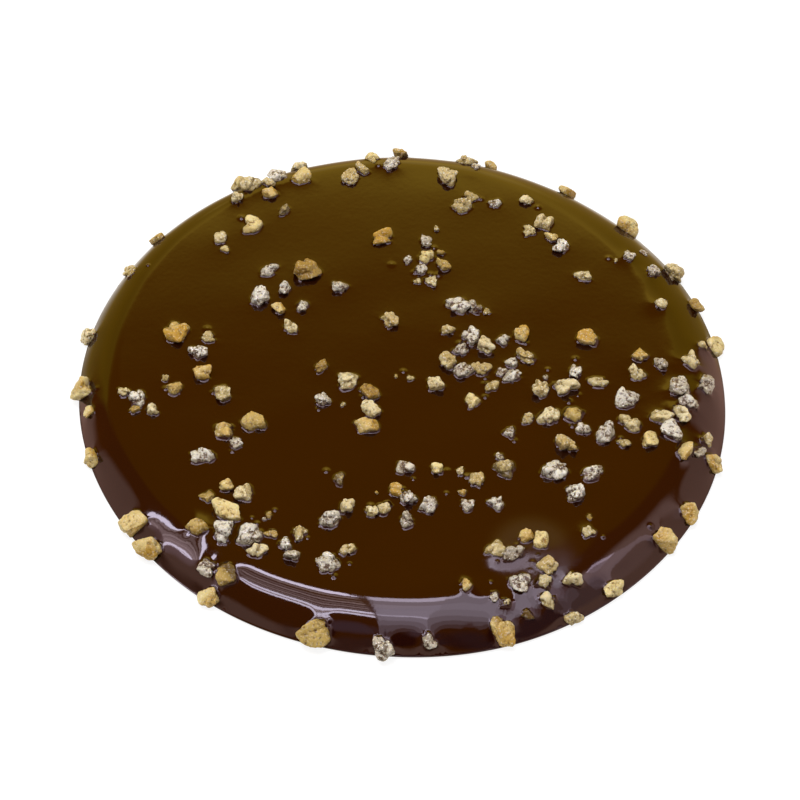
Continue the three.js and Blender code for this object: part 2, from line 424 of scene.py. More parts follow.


# A grain's broken skin: chips, clefts, lumps and crumb on the form of the solid, with painted shade for its
# hollows
def grainSkin(grain, kind):
    radius = grain["half"][0] * sprinkle["drawnShare"]
    parts = round(almonds["edgeArc"] * radius / kind["meshStep"])
    directions, faces = sphereMesh(max(almonds["fewestParts"], parts))
    facing = np.maximum(directions @ grain["faces"].T, 0) ** kind["sharpness"]
    reach = sprinkle["drawnShare"] * facing.sum(axis=1) ** (-1 / kind["sharpness"])
    facetTones = almondDraws.uniform(-kind["facetTone"], kind["facetTone"], len(grain["faces"]))
    tone = grain["tone"] + facing @ facetTones / facing.sum(axis=1)
    for chip in range(kind["chips"]):
        toward = directions @ drawWay()
        level = (reach * toward).max() * almondDraws.uniform(*kind["chipDepth"])
        flat = level / np.maximum(toward, almonds["leastFacing"])
        tone += np.where(flat < reach, almondDraws.uniform(-1, 1) * almonds["chipTone"], 0)
        reach = np.minimum(reach, flat)
    cleft = np.zeros(len(directions))
    for i in range(kind["clefts"]):
        aside = np.abs(directions @ drawWay() - almondDraws.uniform(-1, 1) * almonds["cleftPlace"])
        width = almondDraws.uniform(*almonds["cleftWidth"])
        depth = almondDraws.uniform(*kind["cleftDepth"])
        oneSided = smoothstep(*almonds["cleftEnds"], directions @ drawWay())
        groove = depth * oneSided * np.maximum(1 - aside / width, 0)
        reach *= 1 - groove
        cleft = np.maximum(cleft, groove)
    size = min(1.0, radius)  # small crumbs have finer relief
    sizes = [kind["lumpSize"], kind["crumbSize"], kind["gritSize"]]
    noises = []
    for point in directions * reach[:, None]:
        place = (Vector(point) + grain["offset"]) / size
        ridge = 1 - 2 * abs(noise.noise(place / kind["lumpSize"] + grain["offset"]))
        noises.append([noise.noise(place / noiseSize) for noiseSize in sizes] + [ridge])
    noises = np.array(noises)
    relief = noises @ [kind["lump"], kind["crumb"], kind["grit"], kind["ridge"]]
    # painted shade for the hollows: more where the relief sinks, and more again in the clefts
    hollowShade = almonds["hollowShadeMean"] - noises @ almonds["hollowShadeShares"]
    reach = np.maximum(reach + size * relief, almonds["leastReach"] * reach)
    points = (directions * reach[:, None]) @ grain["turn"].T + grain["middle"]
    points[:, 2] = np.maximum(points[:, 2], sprinkle["floorGap"])
    return points, faces, np.clip(hollowShade + cleft, 0, 1), np.clip(tone, 0, 1)


# Where the chocolate stands against the almonds, and how even its skin is
poured = {
    "seed": 11,
    "foot": (0.03, 0.07),  # chocolate drawn steeply up against a grain
    "footReach": 0.045,
    "lineHeight": 0.06,  # where the chocolate's line is found on a grain
    "lineSteps": 72,  # in so many steps all round
    "nearby": 9.0,  # a grain is felt no farther off
    "filletSlope": (0.4, 0.64),  # of the fillet before it, steep to near its end
    "filletWidth": (0.2, 0.34),
    "filletPower": 3,
    "filletMean": 0.55,  # it comes and goes round the grain: mean share, waves and their height, limits
    "filletLobes": [(2, 0.42), (3, 0.36)],
    "filletShare": (0.05, 1.15),
    "filletFade": (4.0, 28.0, 0.6),  # and is lower towards the back: from y, to y, by this share
    "swell": 0.008,  # a low swell round each grain
    "shoulderSwell": 0.19,  # higher on the shoulder, where the chocolate ran past it
    "swellReach": 0.75,
    "unevenFade": 0.9,  # all that is uneven fades out this near the edge
    "waves": [(23.0, 0.006, 0.4), (14.0, 0.004, 2.2), (9.0, 0.002, 5.0)],  # length, height, bearing
    "backFall": 0.07,  # the top falls off by this much towards the back edge
    "backFallRadius": (26.5, 33.5),
    "backFallY": (2.0, 22.0),
    "stepDrop": 0.68,  # the front right set a little lower, past an even slope with round ends
    "stepFrom": (8.5, -24.8),
    "stepTo": (16.0, -23.7),
    "stepWidth": 2.3,
    "stepRound": 0.6,
    "stepFade": 3.5,
    "bumps": 64,  # sunk crumbs that raise small round beads
    "bumpNear": (0.7, 1.9),  # how far they lie from the middle of a grain
    "bumpGap": 0.08,  # and at least from its side
    "bumpHeight": (0.06, 0.14),
    "bumpWidth": (0.16, 0.3),
    "bumpEnd": 4.0,  # widths from its middle where a bead has died away
    "slopeStep": 0.02,  # slopes are taken over this length
    "rimPoints": 440,
    "rimRings": 24,
    "rimReach": 1.1,  # rings go this many shoulder widths inward
    "rimCrowding": 1.35,  # and lie closer towards the edge
    "rimGap": 0.06,  # shoulder widths from the last ring to the grid
    "lipRings": 4,
    "gridStep": 0.8,
    "edgeGap": 0.05,  # rings round the grains stay this far inside the edge
    "innermost": 0.1,  # and no ring is smaller
    "grainRingPoints": 36,
    "grainRings": (-0.2, 0.0, 0.03, 0.07, 0.12, 0.17, 0.23, 0.3, 0.39, 0.5, 0.66, 0.95),
    "bumpRings": (0.02, 0.1, 0.18, 0.27, 0.38, 0.52, 0.67),
    "bumpRingPoints": 14,
    "weld": 1e-5,  # points nearer than this are one
    "onEdge": 1e-4,  # points this near the outline are on it
}
pourDraws = np.random.default_rng(poured["seed"])
waterlineAngles = np.linspace(-math.pi, math.pi, poured["lineSteps"] + 1)


# The chocolate's line on a grain's broken skin, as a distance from its middle all round
def findWaterline(grain):
    points, faces = grain["skin"][:2]
    seat = np.array([grain["x"], grain["y"], skinHeight(grain["x"], grain["y"])])
    heights = (points - seat) @ grain["normal"] + stepDepth(grain["x"], grain["y"]) - poured["lineHeight"]
    start = faces.ravel()
    end = np.roll(faces, -1, axis=1).ravel()
    crossing = (heights[start] < 0) & (heights[end] >= 0)
    start, end = start[crossing], end[crossing]
    share = heights[start] / (heights[start] - heights[end])
    line = points[start] + share[:, None] * (points[end] - points[start])
    grain["x"], grain["y"] = (line[:, :2].min(axis=0) + line[:, :2].max(axis=0)) / 2
    angles = np.arctan2(line[:, 1] - grain["y"], line[:, 0] - grain["x"])
    radii = np.hypot(line[:, 0] - grain["x"], line[:, 1] - grain["y"])
    steps = poured["lineSteps"]
    places = np.round((angles + math.pi) / fullTurn * steps).astype(int) % steps
    widest = np.zeros(steps)
    np.maximum.at(widest, places, radii)
    known = np.flatnonzero(widest)
    widest = np.interp(np.arange(steps), known, widest[known], period=steps)
    grain["waterline"] = np.append(widest, widest[0])


# Distance of points from a grain's waterline, less than 0 inside it
def waterlineDistance(x, y, grain):
    angle = np.arctan2(y - grain["y"], x - grain["x"])
    return np.hypot(x - grain["x"], y - grain["y"]) - np.interp(angle, waterlineAngles, grain["waterline"])


def scatterBumps():
    bumps = []
    while len(bumps) < poured["bumps"]:
        grain = grains[pourDraws.integers(len(grains))]
        bearing = pourDraws.uniform(0, fullTurn)
        away = pourDraws.uniform(*poured["bumpNear"])
        x = grain["x"] + away * math.cos(bearing)
        y = grain["y"] + away * math.sin(bearing)
        height = pourDraws.uniform(*poured["bumpHeight"])
        width = pourDraws.uniform(*poured["bumpWidth"])
        inside = distanceInward(x, y) > sprinkle["topEdgeGap"]
        if inside and all(waterlineDistance(x, y, other) > poured["bumpGap"] for other in grains):
            bumps.append({"x": x, "y": y, "height": height, "width": width})
    return bumps


# 0 before a bend and an even rise of 1 after it, rounded at the bend
def roundedRamp(past):
    radius = poured["stepRound"]
    return np.where(np.abs(past) < radius, (past + radius) ** 2 / (4 * radius), np.maximum(past, 0))


# How much lower the front right set
def stepDepth(x, y):
    startX, startY = poured["stepFrom"]
    endX, endY = poured["stepTo"]
    along = (x - startX) / (endX - startX)
    line = startY + along * (endY - startY)
    fade = poured["stepFade"]
    ends = smoothstep(startX - fade, startX + fade, x) * (1 - smoothstep(endX - fade, endX + fade, x))
    width = poured["stepWidth"]
    past = line - y + width / 2
    share = ends * (roundedRamp(past) - roundedRamp(past - width)) / width
    return poured["stepDrop"] * share * (skinHeight(x, y) - disc["lipHeight"]) / disc["thickness"]


# Slope of the fillet at a grain, which comes and goes round it
def filletSlope(x, y, grain):
    angle = np.arctan2(y - grain["y"], x - grain["x"])
    share = poured["filletMean"]
    for (waves, height), phase in zip(poured["filletLobes"], grain["filletPhases"]):
        share = share + height * np.sin(waves * angle + phase)
    return grain["filletSlope"] * np.clip(share, *poured["filletShare"])


def pouredHeight(x, y):
    skin = skinHeight(x, y)
    fade = smoothstep(0, poured["unevenFade"], distanceInward(x, y))
    level = np.zeros_like(x)
    for length, height, bearing in poured["waves"]:
        level += height * np.sin((x * math.cos(bearing) + y * math.sin(bearing)) / length * fullTurn)
    startRadius, endRadius = poured["backFallRadius"]
    outward = np.clip((np.hypot(x, y) - startRadius) / (endRadius - startRadius), 0, 1)
    level -= poured["backFall"] * outward ** 2 * smoothstep(*poured["backFallY"], y)
    level -= stepDepth(x, y)
    climb = np.zeros_like(x)
    for grain in grains:
        near = np.flatnonzero(np.abs(x - grain["x"]) + np.abs(y - grain["y"]) < poured["nearby"])
        away = np.maximum(waterlineDistance(x[near], y[near], grain), 0)
        rise = grain["foot"] * np.exp(-away / poured["footReach"])
        width = grain["filletWidth"]
        along = np.minimum(away / width, 1)
        power = poured["filletPower"] + 1
        profile = 1 - along - (1 - along ** power) / power
        rise += filletSlope(x[near], y[near], grain) * width * profile
        climb[near] += rise ** 3  # where two meet, the higher one counts for most
        level[near] += grain["swell"] * np.exp(-away / poured["swellReach"])
    level += np.cbrt(climb)
    for bump in bumps:
        end = poured["bumpEnd"] * bump["width"]
        near = np.flatnonzero(np.abs(x - bump["x"]) + np.abs(y - bump["y"]) < end)
        away = np.hypot(x[near] - bump["x"], y[near] - bump["y"]) / bump["width"]
        level[near] += bump["height"] * np.exp(-away ** 2)
    return skin + fade * level


def pouredNormals(x, y):
    step = poured["slopeStep"]
    slopeX = (pouredHeight(x + step, y) - pouredHeight(x - step, y)) / (2 * step)
    slopeY = (pouredHeight(x, y + step) - pouredHeight(x, y - step)) / (2 * step)
    normals = np.column_stack([-slopeX, -slopeY, np.ones_like(x)])
    return normals / np.linalg.norm(normals, axis=1)[:, None]


# Plan points of the top: rings at the rim, a grid inside, and close rings round every grain
def planPoints():
    angles = np.linspace(0, fullTurn, poured["rimPoints"], endpoint=False)
    steps = np.arange(poured["rimRings"] + 1) / poured["rimRings"]
    shares = poured["rimReach"] * steps ** poured["rimCrowding"]
    radii = outlineRadius(angles)[None, :] - shares[:, None] * shoulderAt(angles)[None, :]
    rim = np.column_stack([(radii * np.cos(angles)).ravel(), (radii * np.sin(angles)).ravel()])

    step = poured["gridStep"]
    rows = np.arange(-disc["radius"], disc["radius"], step * math.sqrt(0.75))  # of even triangles
    columns = np.arange(-disc["radius"], disc["radius"], step)
    gridX, gridY = np.meshgrid(columns, rows)
    gridX = gridX + np.where(np.arange(len(rows)) % 2, step / 2, 0)[:, None]
    grid = np.column_stack([gridX.ravel(), gridY.ravel()])
    inner = distanceInward(grid[:, 0], grid[:, 1]) / shoulderAt(np.arctan2(grid[:, 1], grid[:, 0]))
    grid = grid[inner > poured["rimReach"] + poured["rimGap"]]

    edge = rim[:poured["rimPoints"]]
    field = np.vstack([rim[poured["rimPoints"]:], grid])
    nearest = np.min([waterlineDistance(field[:, 0], field[:, 1], g) for g in grains], axis=0)
    field = field[nearest > poured["grainRings"][-1]]

    rings = []
    turns = np.linspace(-math.pi, math.pi, poured["grainRingPoints"], endpoint=False)
    for grain in grains:
        line = np.interp(turns, waterlineAngles, grain["waterline"])
        away = np.array(poured["grainRings"])[:, None]
        radii = np.maximum(line[None, :] + away, poured["innermost"])
        x = (grain["x"] + radii * np.cos(turns)).ravel()
        y = (grain["y"] + radii * np.sin(turns)).ravel()
        own = np.repeat(away.ravel(), len(turns))
        clear = distanceInward(x, y) > poured["edgeGap"]
        for other in grains:
            apart = math.hypot(other["x"] - grain["x"], other["y"] - grain["y"])
            if other is not grain and apart < poured["nearby"]:
                clear &= waterlineDistance(x, y, other) > own
        rings.append(np.column_stack([x, y])[clear])
    turns = np.linspace(-math.pi, math.pi, poured["bumpRingPoints"], endpoint=False)
    for bump in bumps:
        away = np.array(poured["bumpRings"])[:, None]
        x = (bump["x"] + away * np.cos(turns)).ravel()
        y = (bump["y"] + away * np.sin(turns)).ravel()
        rings.append(np.column_stack([x, y]))
    return np.vstack([edge, field] + rings)


def pouredChocolate(material):
    plan = planPoints()
    print("chocolate points:", len(plan))
    found = delaunay_2d_cdt([Vector(point) for point in plan], [], [], 0, poured["weld"])
    plan = np.array(found[0])
    top = np.array(found[2])
    x, y = plan[:, 0], plan[:, 1]
    points = [np.column_stack([x, y, pouredHeight(x, y)])]
    normals = [pouredNormals(x, y)]

    # the outline's own points, in order, carry the lip and the underside
    onEdge = np.flatnonzero(distanceInward(x, y) < poured["onEdge"])
    onEdge = onEdge[np.argsort(np.arctan2(y[onEdge], x[onEdge]))]
    angles = np.arctan2(y[onEdge], x[onEdge])
    outline = outlineRadius(angles)
    count = len(onEdge)
    faces = top.tolist()
    above = onEdge
    for ring in range(poured["lipRings"] - 1, -1, -1):
        turn = ring / poured["lipRings"] * math.pi / 2
        radius = outline - disc["lipInset"] * (1 - math.sin(turn))
        height = np.full(count, disc["lipHeight"] * (1 - math.cos(turn)))
        below = len(plan) + (poured["lipRings"] - 1 - ring) * count + np.arange(count)
        points.append(np.column_stack([radius * np.cos(angles), radius * np.sin(angles), height]))
        after = np.roll(np.arange(count), -1)
        faces += np.column_stack([above, below, below[after], above[after]]).tolist()
        above = below
    centre = len(plan) + poured["lipRings"] * count
    points.append(np.zeros((1, 3)))
    after = np.roll(above, -1)
    faces += np.column_stack([above, np.full(count, centre), after]).tolist()
    points = np.vstack(points)
    normals.append(np.zeros((len(points) - len(plan), 3)))

    piece = addPiece("poured_chocolate", points, faces, material)
    smooth = np.ones(len(faces), dtype=bool)
    smooth[-count:] = False  # the flat underside
    piece.data.polygons.foreach_set("use_smooth", smooth)
    piece.data.normals_split_custom_set_from_vertices(np.vstack(normals).tolist())
    print("chocolate poured:", len(faces), "faces")


# Tempered dark couverture, poured and left to set: nearly a mirror, duller where it set slowly
chocolateFinish = {
    "dark": "#1b0701",
    "light": "#210a01",
    "mottleSize": 9.0,
    "ior": 1.47,
    "roughness": 0.05,
    "dullRoughness": 0.26,
    "dullAt": (14.2, -22.6),
    "dullRadius": 4.4,
    "dullEdge": 1.6,
    # faint unevenness of the skin, and a finer one that frays what it mirrors: size, height, noise detail
    "ripples": [(1.6, 0.002, 2.0), (0.5, 0.0013, 1.0)],
}


def temperedChocolate():
    material, tree = newMaterial("tempered_dark_chocolate")
    place = addNode(tree, "ShaderNodeTexCoord", output="Object")
    mottle = addNode(tree, "ShaderNodeTexNoise", None, {
        "Vector": place, "Scale": 1 / (chocolateFinish["mottleSize"] * mm), "Detail": 3.0})
    colour = addNode(tree, "ShaderNodeMix", colourMix, {
        0: mottle, 6: linear(chocolateFinish["dark"]), 7: linear(chocolateFinish["light"])}, 2)
    dullX, dullY = chocolateFinish["dullAt"]
    away = addNode(tree, "ShaderNodeVectorMath", {"operation": "DISTANCE"}, {
        0: place, 1: (dullX * mm, dullY * mm, disc["thickness"] * mm)}, "Value")
    radius = chocolateFinish["dullRadius"] * mm
    edge = chocolateFinish["dullEdge"] * mm
    gloss = addNode(tree, "ShaderNodeMapRange", smoothRange, {
        "Value": away, "From Min": radius - edge, "From Max": radius + edge,
        "To Min": chocolateFinish["dullRoughness"], "To Max": chocolateFinish["roughness"]})
    normal = {}
    for size, height, detail in chocolateFinish["ripples"]:
        ripple = addNode(tree, "ShaderNodeTexNoise", None, {
            "Vector": place, "Scale": 1 / (size * mm), "Detail": detail})
        bump = addNode(tree, "ShaderNodeBump", None, {
            "Height": ripple, "Strength": 1.0, "Distance": height * mm, **normal})
        normal = {"Normal": bump}
    shader = addNode(tree, "ShaderNodeBsdfPrincipled", None, {
        "Base Color": colour, "Roughness": gloss, "IOR": chocolateFinish["ior"], **normal})
    addNode(tree, "ShaderNodeOutputMaterial", None, {"Surface": shader})
    return material


for grain in grains:
    chooseKind(grain)
    grain["middle"] = grain["middle"] - up * stepDepth(grain["x"], grain["y"])
    grain["skin"] = grainSkin(grain, kinds[grain["kind"]])
    findWaterline(grain)
    size = min(1.0, 2 * grain["half"][0] / sprinkle["shortest"])  # crumbs draw up less chocolate
    grain["foot"] = size * pourDraws.uniform(*poured["foot"])
    fadeFrom, fadeTo, faded = poured["filletFade"]
    kept = 1 - faded * smoothstep(fadeFrom, fadeTo, grain["y"])
    grain["filletSlope"] = size * kept * pourDraws.uniform(*poured["filletSlope"])
    grain["filletWidth"] = size * pourDraws.uniform(*poured["filletWidth"])
    grain["filletPhases"] = pourDraws.uniform(0, fullTurn, len(poured["filletLobes"]))
    onShoulder = 1 - shoulderShare(grain["x"], grain["y"])
    grain["swell"] = size * kept * (poured["swell"] + poured["shoulderSwell"] * math.sqrt(onShoulder))
bumps = scatterBumps()
pouredChocolate(temperedChocolate())


def almondPiece(kind):
    points, faces, hollowShade, tone, film = [], [], [], [], []
    start = 0
    for grain in grains:
        if grain["kind"] == kind["kind"]:
            skin, skinFaces, skinHollowShade, skinTone = grain["skin"]
            points.append(skin)
            faces.append(skinFaces + start)
            hollowShade.append(skinHollowShade)
            tone.append(skinTone)
            film.append(np.full(len(skin), grain["film"]))
            start += len(skin)
    points = np.vstack(points)
    piece = addPiece(kind["piece"], points, np.vstack(faces).tolist(), almondMaterial(kind))
    above = points[:, 2] - pouredHeight(points[:, 0], points[:, 1])
    outside = np.maximum(-distanceInward(points[:, 0], points[:, 1]), 0)
    above += outside - np.concatenate(film)
    # the hollow attribute carries the painted shade of the recesses
    for attribute, values in (("hollowShade", hollowShade), ("tone", tone), ("above", [above])):
        layer = piece.data.attributes.new(attribute, "FLOAT", "POINT")
        layer.data.foreach_set("value", np.concatenate(values))
    print(kind["piece"], "made:", len(piece.data.polygons), "triangles")


# Almond flesh, dry and porous: light comes back out of it, and chocolate clings to its foot
almondGrain = {
    "ior": 1.47,
    "sheen": 0.2,  # specular level of the dry, porous break
    "glow": 0.4,  # light that goes in and comes out again nearby
    "glowDepth": 0.35,
    "glowReach": (1.0, 0.82, 0.55),
    "pitSize": 0.24,  # gaps between the broken cells, painted dark as shade, coarser than real so that they show
    "glintSize": 0.2,  # and painted glints, pale specks of highlight on them
    "glintLimits": (0.54, 0.7),  # where the noise is this high
    "glint": "#f6f2e8",
    "chocolate": "#2a0e02",
    "wet": (0.12, 0.55),  # chocolate clings this far above its line, and by this share
    "soakedAndShade": (0.7, 0.7),  # and darker flesh reaches so far up: fat soaked up, and painted shade of the lower sides
    "wetRoughness": 0.12,
}


def almondMaterial(kind):
    material, tree = newMaterial(kind["material"])
    place = addNode(tree, "ShaderNodeTexCoord", output="Object")
    tone, hollowShade, above = (
        addNode(tree, "ShaderNodeAttribute", {"attribute_name": name}, None, "Fac")
        for name in ("tone", "hollowShade", "above"))
    # soaked: darker towards the chocolate, partly fat soaked up and partly painted shade of the lower sides
    wet, soakedAndShade = (
        addNode(tree, "ShaderNodeMapRange", smoothRange, {
            "Value": above, "From Max": height, "To Min": share, "To Max": 0.0})
        for height, share in (almondGrain["wet"], almondGrain["soakedAndShade"]))
    pits, glintAndGrainNoise = (
        addNode(tree, "ShaderNodeTexNoise", None, {
            "Vector": place, "Scale": 1 / (size * mm), "Detail": detail})
        for size, detail in ((almondGrain["pitSize"], 3.0), (almondGrain["glintSize"], 2.0)))
    # painted shade: the pits and the hollow attribute darken the gaps and recesses towards the hollow
    # colour
    depth = addNode(tree, "ShaderNodeMath", {"operation": "MULTIPLY_ADD"}, {
        0: pits, 1: kind["pits"], 2: hollowShade})
    pitFrom, pitTo = (limit + kind["pits"] / 2 for limit in kind["pitDepth"])
    shade = addNode(tree, "ShaderNodeMapRange", smoothRange, {
        "Value": depth, "From Min": pitFrom, "From Max": pitTo})
    # painted glints: pale specks in the colour where the noise is high, standing in for highlights
    glintFrom, glintTo = almondGrain["glintLimits"]
    glints = addNode(tree, "ShaderNodeMapRange", smoothRange, {
        "Value": glintAndGrainNoise, "From Min": glintFrom, "From Max": glintTo, "To Max": kind["glints"]})
    # flesh from light to toasted, then fat soaked up with painted shade of the lower sides, painted shade
    # in the gaps, painted glints and chocolate over it
    colour = linear(kind["light"])
    layers = [
        (tone, kind["toasted"]), (soakedAndShade, kind["soakedAndShade"]), (shade, kind["hollowShade"]),
        (glints, almondGrain["glint"]), (wet, almondGrain["chocolate"]),
    ]
    for share, layer in layers:
        colour = addNode(tree, "ShaderNodeMix", colourMix, {0: share, 6: colour, 7: linear(layer)}, 2)
    gloss = addNode(tree, "ShaderNodeMapRange", None, {
        "Value": wet, "To Min": kind["roughness"], "To Max": almondGrain["wetRoughness"]})
    bump = addNode(tree, "ShaderNodeBump", None, {
        "Height": glintAndGrainNoise, "Strength": 1.0, "Distance": kind["graininess"] * mm})
    shader = addNode(tree, "ShaderNodeBsdfPrincipled", None, {
        "Base Color": colour, "Roughness": gloss, "IOR": almondGrain["ior"],
        "Specular IOR Level": almondGrain["sheen"], "Coat Weight": kind["coat"],
        "Coat Roughness": kind["coatRoughness"], "Subsurface Weight": almondGrain["glow"],
        "Subsurface Radius": almondGrain["glowReach"], "Subsurface Scale": almondGrain["glowDepth"] * mm,
        "Normal": bump, "Coat Normal": bump})
    addNode(tree, "ShaderNodeOutputMaterial", None, {"Surface": shader})
    return material


for kind in kinds.values():
    almondPiece(kind)


# Studio: a pale table, a soft key light, and the lamps and surroundings that the chocolate mirrors
studio = {
    "floorWidth": 3000.0,
    "floorDrop": 0.02,
    "floorColour": "#8a8a8a",
    "floorRoughness": 0.9,
    "floorGlow": 0.86,
    "floorBounce": "#cfccc8",  # the table's own grey, where it lights the tuile
    "lampHeight": 1500.0,
    # lamps: x, width, tint, fan, then strips of y, depth and brightness
    # lengths are shares of the height
    "lamps": [
        (-0.62, 1.16, "#f0e6ff", 0.256, [(0.262, 0.066, 17.0), (-0.165, 0.045, 15.0), (-0.24, 0.04, 15.0)]),
        (-0.62, 1.16, "#ffe4ea", 0.256, [(0.185, 0.035, 3.2), (0.11, 0.035, 1.8), (0.05, 0.035, 3.4),
                                         (-0.01, 0.035, 2.0), (-0.06, 0.03, 3.4), (-0.11, 0.03, 2.4),
                                         (-0.2025, 0.02, 4.0)]),
        (0.045, 0.15, "#efe4ff", 0, [(0.23, 0.09, 9.5), (0.135, 0.1, 3.4), (0.02, 0.13, 4.6),
                                     (-0.11, 0.13, 4.8), (-0.19, 0.03, 8.5), (-0.255, 0.1, 3.6),
                                     (-0.355, 0.1, 2.5), (-0.455, 0.1, 1.5), (-0.555, 0.1, 0.5)]),
        (0.26, 0.28, "#f0e6ff", 0, [(0.24, 0.05, 8.0), (0.155, 0.12, 3.4), (0.025, 0.14, 4.0),
                                    (-0.115, 0.14, 3.4), (-0.245, 0.12, 2.4), (-0.355, 0.1, 1.3),
                                    (-0.455, 0.1, 0.6)]),
        (0.57, 0.34, "#f7e2ff", 0, [(0.115, 0.03, 6.0), (0.045, 0.11, 2.0), (-0.065, 0.11, 1.8),
                                    (-0.175, 0.11, 1.3), (-0.285, 0.11, 0.7), (-0.395, 0.11, 0.4)]),
        (0.87, 0.26, "#f7e2ff", 0, [(0.06, 0.14, 1.1), (-0.08, 0.14, 1.1), (-0.22, 0.14, 0.7),
                                    (-0.36, 0.14, 0.4)]),
    ],
    "fanFrom": -0.44,  # strips that fan out meet at this y
    "key": {"x": -0.3, "y": 0.05, "lift": 1.3, "width": 0.9, "depth": 0.7, "brightness": 7.0,
            "tint": "#ffffff"},
    "fillAbove": (0.36, 0.36, 0.36),  # soft light on the almonds, from overhead and from the sides
    "fillAround": (0.38, 0.37, 0.35),
    # what the chocolate mirrors at the back, as light: straight back and farther round,
    # low and at the horizon, and higher
    "backLow": (2.5, 1.57, 0.15),
    "backHorizon": (0.9, 0.6, 0.26),
    "farLow": (1.1, 0.66, 0.03),
    "farHorizon": (0.65, 0.41, 0.06),
    "backHigh": (0.68, 0.24, 0.0),
    "backRise": (0.779, 0.722),  # where one turns into the next, as heights on a unit sphere
    "backCurve": 2.2,  # slowly at first
    "horizonRise": (0.5, -0.3),
    "backReach": (6.0, 56.0),  # degrees to either side of straight back, between which it fades
    "reachCurve": 6.0,
    "backArch": 0.11,  # and by how much it comes down there
    "backEnd": (40.0, 52.0),  # degrees at which it gives way to the sides
    "backTurn": 6.0,  # farther on the left than on the right, by this much each way
    "around": (1.2, 0.69, 0.55),  # and at the sides
    "aroundHorizon": (0.4, 0.2, 0.14),  # darker towards the horizon in front
    "aroundFall": (0.42, 0.2),
    "aroundFrom": (96.0, 112.0),  # degrees from straight back
    "above": (0.47, 0.13, 0.015),
    "sideRise": (1.33, 1.08),
    "sideLean": (-0.45, 1.8, 1.0),  # the line between them comes down towards the back
    "frontRise": (0.62, 0.54),  # and is level in front
    # softer patches: azimuth to the right of the back, elevation, inner and outer radius, colour
    "patches": [
        (-3, 21, 5, 15, (2.5, 1.65, 0.3)),
        (-106, 44, 6, 15, (2.2, 1.4, 1.5)),
        (80, 46, 5, 14, (1.9, 1.15, 1.0)),
        (92, 38, 5, 12, (1.5, 0.9, 0.8)),
        (112, 44, 6, 17, (0.8, 0.5, 0.5)),
        (140, 44, 7, 15, (0.2, 0.12, 0.16)),
        (168, 49, 6, 13, (0.05, 0.01, 0.03)),
        (-160, 36, 6, 14, (0.4, 0.18, 0.15)),
        (-170, 58, 2, 10, (0.6, 0.38, 0.5)),
    ],
    "mirroredTable": (0.95, 0.86, 0.76),  # and below the horizon
    "tableRise": (-0.25, -0.7),
}


# White paper, uncoated: matt, and so bright that no grain shows
def layFloor():
    material, tree = newMaterial("white_paper")
    seen = addNode(tree, "ShaderNodeBsdfPrincipled", None, {
        "Base Color": linear(studio["floorColour"]), "Roughness": studio["floorRoughness"],
        "Specular IOR Level": 0.0, "Emission Color": linear("#ffffff"),
        "Emission Strength": studio["floorGlow"]})
    bounce = addNode(tree, "ShaderNodeBsdfDiffuse", None, {"Color": linear(studio["floorBounce"])})
    toCamera = addNode(tree, "ShaderNodeLightPath", output="Is Camera Ray")
    paper = addNode(tree, "ShaderNodeMixShader", None, {0: toCamera, 1: bounce, 2: seen})
    addNode(tree, "ShaderNodeOutputMaterial", None, {"Surface": paper})
    half = studio["floorWidth"] / 2 * mm
    drop = -studio["floorDrop"] * mm
    mesh = bpy.data.meshes.new("table")
    corners = [(-half, -half, drop), (half, -half, drop), (half, half, drop), (-half, half, drop)]
    mesh.from_pydata(corners, [], [(0, 1, 2, 3)])
    mesh.materials.append(material)
    floor = bpy.data.objects.new("table", mesh)
    scene.collection.objects.link(floor)
    floor.visible_glossy = False  # what is mirrored goes on below the horizon


def hangLamp(name, x, y, width, depth, brightness, tint, lift=1.0, turn=0.0):
    height = studio["lampHeight"] * mm
    lamp = bpy.data.lights.new(name, "AREA")
    lamp.shape = "RECTANGLE"
    lamp.size = width * height
    lamp.size_y = depth * height
    lamp.energy = brightness * math.pi * lamp.size * lamp.size_y
    lamp.color = linear(tint)[:3]
    holder = bpy.data.objects.new(name, lamp)
    holder.location = (x * height, y * height, lift * height)
    holder.rotation_euler = (0, 0, turn)
    scene.collection.objects.link(holder)
    return holder


# The key light shades the almonds, and the mirrored lamps show in the gloss alone
def hangLamps():
    key = hangLamp("key", **studio["key"])
    key.visible_glossy = False
    for x, width, tint, fan, strips in studio["lamps"]:
        for y, depth, brightness in strips:
            slant = fan * (y - studio["fanFrom"])
            turn = math.atan(slant)
            lamp = hangLamp("mirrored_lamp", x, y + slant * x, width, depth, brightness, tint, turn=turn)
            lamp.visible_diffuse = False


